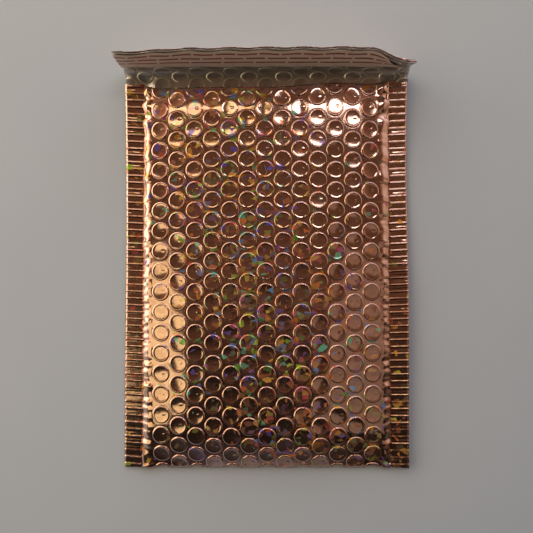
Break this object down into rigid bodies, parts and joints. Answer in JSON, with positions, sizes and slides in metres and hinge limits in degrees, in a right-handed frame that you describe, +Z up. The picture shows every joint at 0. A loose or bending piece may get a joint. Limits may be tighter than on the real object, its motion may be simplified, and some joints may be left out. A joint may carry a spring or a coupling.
{
  "type": "padded envelope",
  "caption": "Padded bubble mailer of copper metallised film, lying on its back, crimped side seals and a flap standing open with a peel-off adhesive strip.",
  "frame": {"origin": "on the table, under the middle of the envelope's overall box", "axes": "+X across the envelope, +Y from the folded bottom towards the flap, +Z up out of the front panel"},
  "size_m": [0.165, 0.2354, 0.0324],
  "materials": {
    "film": "copper metallised film with a faceted rainbow sheen, glossy",
    "lining": "silver-grey polyethylene bubble film",
    "adhesive": "pale hot-melt adhesive",
    "liner": "siliconed pinkish paper with plain red bars"
  },
  "bodies": {
    "root": {"outer_film": "film", "bubble_lining": "lining", "adhesive_strip": "adhesive", "release_liner": "liner"}
  },
  "joints": []
}
